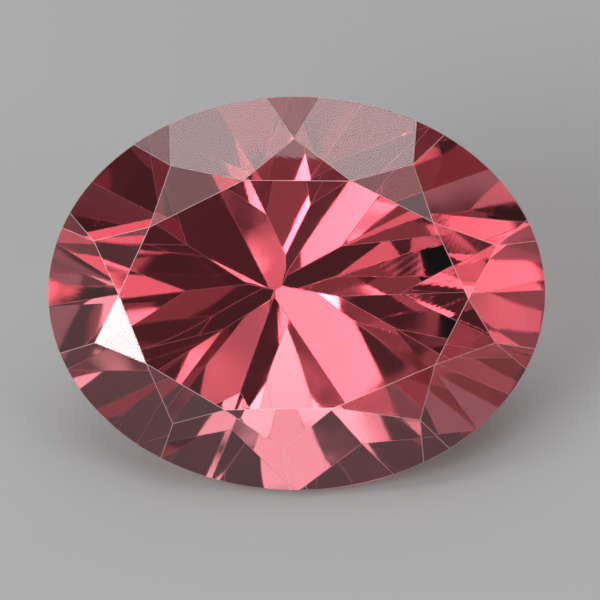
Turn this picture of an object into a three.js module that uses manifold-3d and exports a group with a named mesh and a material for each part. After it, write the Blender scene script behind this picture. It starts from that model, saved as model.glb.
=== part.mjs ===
// A loose cut gemstone: an oval of 12 x 9.5 mm with a ten-cornered table, in one solid.
// It is made in the order a cutter works. An oval blank is turned first, then flat facets are
// ground on it one by one: table, stars, crown mains and girdle facets above the girdle, and
// pavilion mains and lower girdle facets below it. The finished stone lies on one pavilion main.
import * as THREE from "three";
import { mergeVertices } from "three/addons/utils/BufferGeometryUtils.js";
import Module from "manifold-3d";

// Driving dimensions, in millimetres and degrees.
// In the stone's own axes, X is its length, Y its width and Z points out of the table.
// Z is 0 at the upper edge of the girdle.
const LENGTH = 12.0;
const WIDTH = 9.5;
const CROWN_HEIGHT = 0.97;
const STAR_TIP_HEIGHT = 0.55;
const PAVILION_DEPTH = 5.92;
const OUTLINE_STEPS = 160;

// Corners of the table and tips of the stars, as [x, y], counterclockwise from the right.
// Hand cutting has left them a little uneven.
const TABLE_CORNERS = [
  [4.14, -0.14],
  [3.29, 1.70],
  [1.32, 2.69],
  [-1.28, 2.71],
  [-3.54, 1.58],
  [-4.28, -0.04],
  [-3.61, -1.71],
  [-1.72, -2.82],
  [0.90, -2.77],
  [3.34, -1.73],
];
const STAR_TIPS = [
  [4.83, 1.14],
  [2.81, 3.10],
  [-0.06, 3.72],
  [-3.03, 3.07],
  [-4.89, 1.26],
  [-4.86, -1.20],
  [-2.98, -3.15],
  [-0.33, -3.76],
  [2.98, -3.06],
  [4.79, -1.20],
];

// Azimuths are measured from +X towards +Y, and slopes from the girdle plane.
const GIRDLE_FACET_AZIMUTHS = [24.4, 59.2, 90, 120.8, 155.6, -155.6, -120.8, -90, -59.2, -24.4];
const GIRDLE_FACET_SLOPE = 33;

// The pavilion's mains, as [place, depth, split]. Place is the outline angle that the main touches,
// and depth is where its plane passes under the culet point. Split is how far out the two lower
// girdle facets begin on the edge to the next main, as a share of that edge's length.
const GIRDLE_THICKNESS = 0.32;
const CULET = [-0.39, 0.19];
const PAVILION_MAINS = [
  [20.5, 5.75, 0.31],
  [57.5, 5.88, 0.42],
  [91.5, 6.03, 0.37],
  [126.5, 5.77, 0.44],
  [165, 6.06, 0.38],
  [202.5, 5.94, 0.31],
  [230, 6.00, 0.52],
  [270, 5.93, 0.66],
  [316.5, 5.72, 0.47],
  [341.5, 5.94, 0.43],
];
const RESTING_MAIN = 7;

// The lap that grinds each facet is a block far larger than the stone.
const LAP_SIZE = 40;

const wasm = await Module();
wasm.setup();

function solidFrom(geometry) {
  const bare = geometry.clone();
  bare.deleteAttribute("normal");
  bare.deleteAttribute("uv");
  const merged = mergeVertices(bare, 1e-6);
  return new wasm.Manifold(new wasm.Mesh({
    numProp: 3,
    vertProperties: new Float32Array(merged.attributes.position.array),
    triVerts: new Uint32Array(merged.index.array),
  }));
}

function geometryFrom(solid) {
  const { vertProperties, triVerts } = solid.getMesh();
  const geometry = new THREE.BufferGeometry();
  geometry.setAttribute("position", new THREE.BufferAttribute(vertProperties, 3));
  geometry.setIndex(new THREE.BufferAttribute(triVerts, 1));
  return geometry;
}

// Unit normal of a facet above the girdle.
function facetNormal(azimuth, slope) {
  const turn = THREE.MathUtils.degToRad(azimuth);
  const tilt = THREE.MathUtils.degToRad(slope);
  return new THREE.Vector3(
    Math.sin(tilt) * Math.cos(turn),
    Math.sin(tilt) * Math.sin(turn),
    Math.cos(tilt),
  );
}

function facetThrough(a, b, c, side) {
  const plane = new THREE.Plane().setFromCoplanarPoints(a, b, c);
  return plane.normal.z * side < 0 ? plane.negate() : plane;
}

function facetAt(normal, point) {
  return new THREE.Plane().setFromNormalAndCoplanarPoint(normal, point);
}

// A point of the girdle's lower edge, and the outline's direction there.
function girdlePoint(angle) {
  const turn = THREE.MathUtils.degToRad(angle);
  return new THREE.Vector3(0.5 * LENGTH * Math.cos(turn), 0.5 * WIDTH * Math.sin(turn), -GIRDLE_THICKNESS);
}

function girdleDirection(angle) {
  const turn = THREE.MathUtils.degToRad(angle);
  return new THREE.Vector3(-0.5 * LENGTH * Math.sin(turn), 0.5 * WIDTH * Math.cos(turn), 0);
}

// The point where three planes meet.
function meetingPoint(a, b, c) {
  const rows = new THREE.Matrix3().set(...a.normal, ...b.normal, ...c.normal);
  return new THREE.Vector3(-a.constant, -b.constant, -c.constant).applyMatrix3(rows.invert());
}

function blank() {
  const oval = new THREE.Shape().absellipse(0, 0, 0.5 * LENGTH, 0.5 * WIDTH, 0, 2 * Math.PI);
  const depth = CROWN_HEIGHT + PAVILION_DEPTH + 1;
  const prism = new THREE.ExtrudeGeometry(oval, {
    depth,
    curveSegments: OUTLINE_STEPS,
    bevelEnabled: false,
  });
  prism.translate(0, 0, CROWN_HEIGHT - depth + 0.5);
  return solidFrom(prism);
}

function crownFacets() {
  const count = TABLE_CORNERS.length;
  const corners = TABLE_CORNERS.map(([x, y]) => new THREE.Vector3(x, y, CROWN_HEIGHT));
  const tips = STAR_TIPS.map(([x, y]) => new THREE.Vector3(x, y, STAR_TIP_HEIGHT));
  const planes = [facetAt(new THREE.Vector3(0, 0, 1), corners[0])];
  for (let i = 0; i < count; i += 1) {
    const nextCorner = corners[(i + 1) % count];
    const lastTip = tips[(i + count - 1) % count];
    planes.push(facetThrough(corners[i], nextCorner, tips[i], 1));
    planes.push(facetThrough(corners[i], tips[i], lastTip, 1));
    planes.push(facetAt(facetNormal(GIRDLE_FACET_AZIMUTHS[i], GIRDLE_FACET_SLOPE), tips[i]));
  }
  return planes;
}

// A main holds the outline's tangent at its place, and passes under the culet at its depth.
function pavilionMain([place, depth]) {
  const touch = girdlePoint(place);
  const under = new THREE.Vector3(CULET[0], CULET[1], -depth);
  return facetThrough(touch, touch.clone().add(girdleDirection(place)), under, -1);
}

// Two lower girdle facets fill the space between a main and the next one. Both hold the point
// where they begin on the mains' common edge, and the girdle halfway between the mains.
function lowerGirdleFacets(place, split, nextPlace, main, nextMain) {
  const girdleLevel = new THREE.Plane(new THREE.Vector3(0, 0, 1), GIRDLE_THICKNESS);
  const culetLevel = new THREE.Plane(new THREE.Vector3(0, 0, 1), PAVILION_DEPTH);
  const outer = meetingPoint(main, nextMain, girdleLevel);
  const inner = meetingPoint(main, nextMain, culetLevel);
  const start = inner.lerp(outer, split);
  const halfway = girdlePoint(0.5 * (place + nextPlace));
  return [place, nextPlace].map((side) => facetThrough(girdlePoint(side), start, halfway, -1));
}

function pavilionFacets() {
  const mains = PAVILION_MAINS.map(pavilionMain);
  const lowerGirdle = PAVILION_MAINS.flatMap(([place, , split], i) => {
    const next = (i + 1) % PAVILION_MAINS.length;
    const nextPlace = PAVILION_MAINS[next][0] + (next === 0 ? 360 : 0);
    return lowerGirdleFacets(place, split, nextPlace, mains[i], mains[next]);
  });
  return [...mains, ...lowerGirdle];
}

// Grinds one facet: takes away all that lies beyond its plane.
function grind(stone, plane) {
  const lap = new THREE.BoxGeometry(LAP_SIZE, LAP_SIZE, LAP_SIZE);
  lap.translate(0, 0, 0.5 * LAP_SIZE);
  lap.applyQuaternion(new THREE.Quaternion().setFromUnitVectors(new THREE.Vector3(0, 0, 1), plane.normal));
  const centre = plane.coplanarPoint(new THREE.Vector3());
  lap.translate(centre.x, centre.y, centre.z);
  return stone.subtract(solidFrom(lap));
}

function cutStone() {
  let stone = blank();
  for (const plane of [...crownFacets(), ...pavilionFacets()]) {
    stone = grind(stone, plane);
  }
  return geometryFrom(stone);
}

const gemstone = new THREE.Mesh(
  cutStone(),
  new THREE.MeshStandardMaterial({ color: 0xd9667a, roughness: 0.02, metalness: 0 }),
);
gemstone.name = "gemstone";

// Lays the stone on its resting main, with the table leaning towards -Y, and puts the middle of
// its base at the origin.
const restingNormal = pavilionMain(PAVILION_MAINS[RESTING_MAIN]).normal;
gemstone.rotation.x = Math.atan2(-restingNormal.y, -restingNormal.z);
gemstone.updateMatrixWorld(true);
const box = new THREE.Box3().setFromObject(gemstone, true);
gemstone.position.set(-0.5 * (box.min.x + box.max.x), -0.5 * (box.min.y + box.max.y), -box.min.z);

const group = new THREE.Group();
group.add(gemstone);
export default group;
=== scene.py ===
"""Looks of the cut gemstone: its gem material, a grey floor, soft studio light and the camera."""
import math

import bmesh
import bpy
from mathutils import Matrix, Vector


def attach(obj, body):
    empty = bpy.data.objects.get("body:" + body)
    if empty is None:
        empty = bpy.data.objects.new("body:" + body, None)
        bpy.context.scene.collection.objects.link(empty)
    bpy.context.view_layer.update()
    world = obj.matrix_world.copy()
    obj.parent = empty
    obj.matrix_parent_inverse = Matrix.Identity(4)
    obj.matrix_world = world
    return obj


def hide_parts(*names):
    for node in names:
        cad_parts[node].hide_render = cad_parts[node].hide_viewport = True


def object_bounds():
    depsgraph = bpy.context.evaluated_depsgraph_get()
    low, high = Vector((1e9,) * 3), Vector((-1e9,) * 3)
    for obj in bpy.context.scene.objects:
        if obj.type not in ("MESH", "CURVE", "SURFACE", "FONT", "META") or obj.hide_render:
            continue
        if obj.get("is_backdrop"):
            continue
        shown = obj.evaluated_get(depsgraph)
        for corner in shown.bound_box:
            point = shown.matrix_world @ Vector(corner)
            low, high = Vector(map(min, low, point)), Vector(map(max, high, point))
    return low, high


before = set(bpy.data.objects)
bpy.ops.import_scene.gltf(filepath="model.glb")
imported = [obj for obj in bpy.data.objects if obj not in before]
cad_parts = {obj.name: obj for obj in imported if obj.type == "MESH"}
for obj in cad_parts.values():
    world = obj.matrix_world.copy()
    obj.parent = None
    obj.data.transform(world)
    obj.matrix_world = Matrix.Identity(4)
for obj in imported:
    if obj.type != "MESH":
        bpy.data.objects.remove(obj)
low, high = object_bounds()

# Driving values, in metres and degrees unless a comment says otherwise.

# The gem, and the marks that polishing has left on it. Roughness goes from the first value to the
# second while the pattern of dull spots, which is about 0 to 1, goes through DULL_SPOT_RANGE.
GEM_IOR = 1.604
GEM_COLOUR = (0.83, 0.24, 0.33, 1.0)
GEM_DENSITY = 250.0
FACET_ROLL_SPACING = 0.0022
FACET_ROLL_HEIGHT = 0.000018
POLISH_LINE_SPACING = 0.00007
POLISH_LINE_HEIGHT = 0.00000006
POLISH_LINE_TURN = 20.0
POLISH_LINE_WOBBLE = 1.5
DULL_SPOT_SPACING = 0.0015
DULL_SPOT_RANGE = (0.35, 0.75)
POLISH_ROUGHNESS = (0.0, 0.09)

# A wave texture of scale 1 repeats after this length.
WAVE_PERIOD = 0.314

# The edges that turn by more than EDGE_ANGLE are rounded and worn. The small steps of the girdle's
# outline turn by less.
EDGE_ANGLE = 4.5
EDGE_ROUNDING = 0.000008
EDGE_WEAR_ROUGHNESS = 0.4
EDGE_WEAR_CLOUDING = 0.15

# Points closer than WELD_DISTANCE are one, and faces that turn by less than FLAT_ANGLE are one facet.
WELD_DISTANCE = 0.0000001
FLAT_ANGLE = 0.3

# Height of the crown, as a share of the stone's length.
CROWN_SHARE = 0.08

# The floor lies just clear of the facet that the stone rests on.
FLOOR_SIZE = 2.0
FLOOR_DROP = 0.00004
FLOOR_GREY = 0.26
FLOOR_ROUGHNESS = 0.9
LIGHT_DISTANCE = 0.4
AMBIENT_GREY = 0.5
AMBIENT_STRENGTH = 0.2

# The camera's lean off the table's normal and its aim off the stone's middle go along the stone's
# length and towards its upper side. The aim is given in shares of the length, and the length fills
# FRAME_FILL of the picture's width. The sensor is given in millimetres.
CAMERA_DISTANCE = 0.35
CAMERA_LEAN = (-0.005, 0.01)
CAMERA_AIM = (0.0068, -0.0135)
CAMERA_CLIP = 0.01
FRAME_FILL = 0.829
SENSOR_WIDTH = 36.0

# Light crosses the stone many times before it leaves.
LIGHT_BOUNCES = 32

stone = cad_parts["gemstone"]
mesh = stone.data


# The table is the largest flat face. Its normal and the stone's length give the stone's own axes.
def largest_face_normal():
    areas = {}
    for face in mesh.polygons:
        normal = tuple(round(value, 3) for value in face.normal)
        areas[normal] = areas.get(normal, 0.0) + face.area
    return max(areas, key=areas.get)


table_normal = largest_face_normal()
ACROSS = Vector((1.0, 0.0, 0.0))
OUT = Vector((0.0, table_normal[1], table_normal[2])).normalized()
UP = OUT.cross(ACROSS)
LENGTH = high.x - low.x
MID_X = 0.5 * (low.x + high.x)


def stone_middle():
    """Middle of the outline, seen along the table's normal, at the height of the girdle."""
    points = [v.co for v in mesh.vertices]
    heights = [p.dot(UP) for p in points]
    depths = [p.dot(OUT) for p in points]
    crown = CROWN_SHARE * LENGTH
    return ACROSS * MID_X + UP * 0.5 * (min(heights) + max(heights)) + OUT * (max(depths) - crown)


MIDDLE = stone_middle()


def add_node(tree, kind, settings=None):
    """A new node of this kind, with these values on its inputs."""
    node = tree.nodes.new(kind)
    for name, value in (settings or {}).items():
        node.inputs[name].default_value = value
    return node


# Gem material: clear and rose pink through its depth, with the traces that hand polishing leaves.
def gem_material():
    material = bpy.data.materials.new("gem")
    material.use_nodes = True
    tree = material.node_tree
    link = tree.links.new
    shader = tree.nodes["Principled BSDF"]
    shader.inputs["Base Color"].default_value = (1.0, 1.0, 1.0, 1.0)
    shader.inputs["IOR"].default_value = GEM_IOR
    place = add_node(tree, "ShaderNodeTexCoord")

    # Facets are not quite flat: a slow roll of the surface, a few tenths of a degree.
    roll = add_node(tree, "ShaderNodeTexNoise", {"Scale": 1.0 / FACET_ROLL_SPACING, "Detail": 0.0})
    link(place.outputs["Object"], roll.inputs["Vector"])
    roll_bump = add_node(tree, "ShaderNodeBump", {"Strength": 1.0, "Distance": FACET_ROLL_HEIGHT})
    link(roll.outputs["Fac"], roll_bump.inputs["Height"])

    # Fine parallel lines left by the polishing lap.
    turn = (0.0, 0.0, math.radians(POLISH_LINE_TURN))
    turned = add_node(tree, "ShaderNodeMapping", {"Rotation": turn})
    link(place.outputs["Object"], turned.inputs["Vector"])
    lines = add_node(tree, "ShaderNodeTexWave", {
        "Scale": WAVE_PERIOD / POLISH_LINE_SPACING,
        "Distortion": POLISH_LINE_WOBBLE,
        "Detail": 2.0,
        "Detail Scale": 0.3,
    })
    lines.wave_type = "BANDS"
    lines.bands_direction = "Y"
    link(turned.outputs["Vector"], lines.inputs["Vector"])
    line_bump = add_node(tree, "ShaderNodeBump", {"Strength": 1.0, "Distance": POLISH_LINE_HEIGHT})
    link(lines.outputs["Fac"], line_bump.inputs["Height"])
    link(roll_bump.outputs["Normal"], line_bump.inputs["Normal"])
    link(line_bump.outputs["Normal"], shader.inputs["Normal"])

    # The polish is a little duller in places.
    dull = add_node(tree, "ShaderNodeTexNoise", {"Scale": 1.0 / DULL_SPOT_SPACING, "Detail": 3.0})
    link(place.outputs["Object"], dull.inputs["Vector"])
    duller = add_node(tree, "ShaderNodeMapRange", {
        "From Min": DULL_SPOT_RANGE[0],
        "From Max": DULL_SPOT_RANGE[1],
        "To Min": POLISH_ROUGHNESS[0],
        "To Max": POLISH_ROUGHNESS[1],
    })
    link(dull.outputs["Fac"], duller.inputs["Value"])

    # Handling has rubbed the edges between facets, so they scatter light as thin pale lines.
    wear = add_node(tree, "ShaderNodeAttribute")
    wear.attribute_name = "edge_wear"
    rougher = add_node(tree, "ShaderNodeMath", {1: EDGE_WEAR_ROUGHNESS})
    rougher.operation = "MULTIPLY_ADD"
    link(wear.outputs["Fac"], rougher.inputs[0])
    link(duller.outputs["Result"], rougher.inputs[2])
    link(rougher.outputs["Value"], shader.inputs["Roughness"])
    clearness = add_node(tree, "ShaderNodeMapRange", {"To Min": 1.0, "To Max": 1.0 - EDGE_WEAR_CLOUDING})
    link(wear.outputs["Fac"], clearness.inputs["Value"])
    link(clearness.outputs["Result"], shader.inputs["Transmission Weight"])

    # Colour grows with the light's way through the stone: green and blue are absorbed, red hardly.
    absorb = add_node(tree, "ShaderNodeVolumeAbsorption", {"Color": GEM_COLOUR, "Density": GEM_DENSITY})
    link(absorb.outputs["Volume"], tree.nodes["Material Output"].inputs["Volume"])
    return material


# The polished stone: each facet is one flat face, and each edge between facets is very slightly
# rounded. The narrow faces of the rounding are marked as worn.
def polished_copy(source):
    shape = bmesh.new()
    shape.from_mesh(source.data)
    bmesh.ops.remove_doubles(shape, verts=shape.verts, dist=WELD_DISTANCE)
    bmesh.ops.dissolve_limit(
        shape, angle_limit=math.radians(FLAT_ANGLE), verts=shape.verts, edges=shape.edges)
    sharp = [e for e in shape.edges if e.calc_face_angle(0.0) > math.radians(EDGE_ANGLE)]
    wear = shape.faces.layers.float.new("edge_wear")
    rounded = bmesh.ops.bevel(
        shape, geom=sharp, offset=EDGE_ROUNDING, offset_type="OFFSET", segments=2, profile=0.5,
        affect="EDGES", clamp_overlap=False)
    for face in rounded["faces"]:
        face[wear] = 1.0
    copy = bpy.data.meshes.new("gemstone_polished")
    shape.to_mesh(copy)
    shape.free()
    piece = bpy.data.objects.new("gemstone_polished", copy)
    bpy.context.collection.objects.link(piece)
    return piece


gem = gem_material()
polished = polished_copy(stone)
polished.data.materials.append(gem)
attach(polished, "root")
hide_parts("gemstone")

# Floor.
bpy.ops.mesh.primitive_plane_add(size=FLOOR_SIZE, location=(0.0, 0.0, -FLOOR_DROP))
floor = bpy.context.object
floor.name = "floor"
floor_material = bpy.data.materials.new("floor")
floor_material.use_nodes = True
floor_shader = floor_material.node_tree.nodes["Principled BSDF"]
floor_shader.inputs["Base Color"].default_value = (FLOOR_GREY, FLOOR_GREY, FLOOR_GREY, 1.0)
floor_shader.inputs["Roughness"].default_value = FLOOR_ROUGHNESS
floor.data.materials.append(floor_material)
floor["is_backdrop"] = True


# Light.
def softbox(name, tilt, turn, across, along, radiance):
    """A rectangular light that faces the stone. tilt is its angle from the table's normal, and turn
    is the azimuth from the stone's length towards its upper side. across and along are the angles
    that it fills, seen from the stone, round the normal and away from it."""
    a, b = math.radians(tilt), math.radians(turn)
    way = OUT * math.cos(a) + (ACROSS * math.cos(b) + UP * math.sin(b)) * math.sin(a)
    side = UP * math.cos(b) - ACROSS * math.sin(b)
    width = 2.0 * LIGHT_DISTANCE * math.tan(math.radians(0.5 * across))
    height = 2.0 * LIGHT_DISTANCE * math.tan(math.radians(0.5 * along))
    data = bpy.data.lights.new(name, "AREA")
    data.shape = "RECTANGLE"
    data.size = width
    data.size_y = height
    data.energy = math.pi * width * height * radiance
    lamp = bpy.data.objects.new(name, data)
    bpy.context.collection.objects.link(lamp)
    place = Matrix((side, way.cross(side), way)).transposed().to_4x4()
    place.translation = MIDDLE + way * LIGHT_DISTANCE
    lamp.matrix_world = place


softbox("key", 35, 186, 31, 32, 9.0)
softbox("back", 65, 95, 60, 38, 2.2)
softbox("back_left", 60, 103, 18, 14, 2.4)
softbox("back_right", 60, 76, 18, 14, 2.4)
softbox("front", 20, 267, 29, 17, 4.0)
softbox("right", 44, 2, 12, 25, 5.3)
softbox("left", 55, 158, 13, 17, 5.1)
softbox("upper_strip", 18, 145, 60, 14, 1.3)
softbox("upper_right", 28, 76, 24, 14, 1.6)
softbox("left_fill", 53, 174, 63, 48, 0.3)
softbox("star", 47, 202, 9, 9, 8.0)
softbox("behind", 98, 88, 60, 16, 1.3)
softbox("right_low", 82, 12, 18, 12, 1.6)
softbox("upper_left", 41, 117, 12, 12, 1.4)
softbox("upper_far_right", 44, 63, 12, 12, 1.6)

world = bpy.data.worlds.new("studio")
world.use_nodes = True
ambient = world.node_tree.nodes["Background"]
ambient.inputs["Color"].default_value = (AMBIENT_GREY, AMBIENT_GREY, AMBIENT_GREY, 1.0)
ambient.inputs["Strength"].default_value = AMBIENT_STRENGTH
bpy.context.scene.world = world

# Camera: looks at the table from macro distance, within a degree of straight on.
frame_width = LENGTH / FRAME_FILL
camera_data = bpy.data.cameras.new("camera")
camera_data.sensor_width = SENSOR_WIDTH
camera_data.lens = SENSOR_WIDTH * CAMERA_DISTANCE / frame_width
camera_data.clip_start = CAMERA_CLIP
camera = bpy.data.objects.new("camera", camera_data)
bpy.context.collection.objects.link(camera)
target = MIDDLE + ACROSS * CAMERA_AIM[0] * LENGTH + UP * CAMERA_AIM[1] * LENGTH
back = (OUT - ACROSS * CAMERA_LEAN[0] - UP * CAMERA_LEAN[1]).normalized()
right = UP.cross(back).normalized()
pose = Matrix((right, back.cross(right), back)).transposed().to_4x4()
pose.translation = target + back * CAMERA_DISTANCE
camera.matrix_world = pose
bpy.context.scene.camera = camera

scene = bpy.context.scene
scene.view_settings.view_transform = "Standard"
scene.cycles.max_bounces = LIGHT_BOUNCES
scene.cycles.transmission_bounces = LIGHT_BOUNCES

low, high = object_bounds()
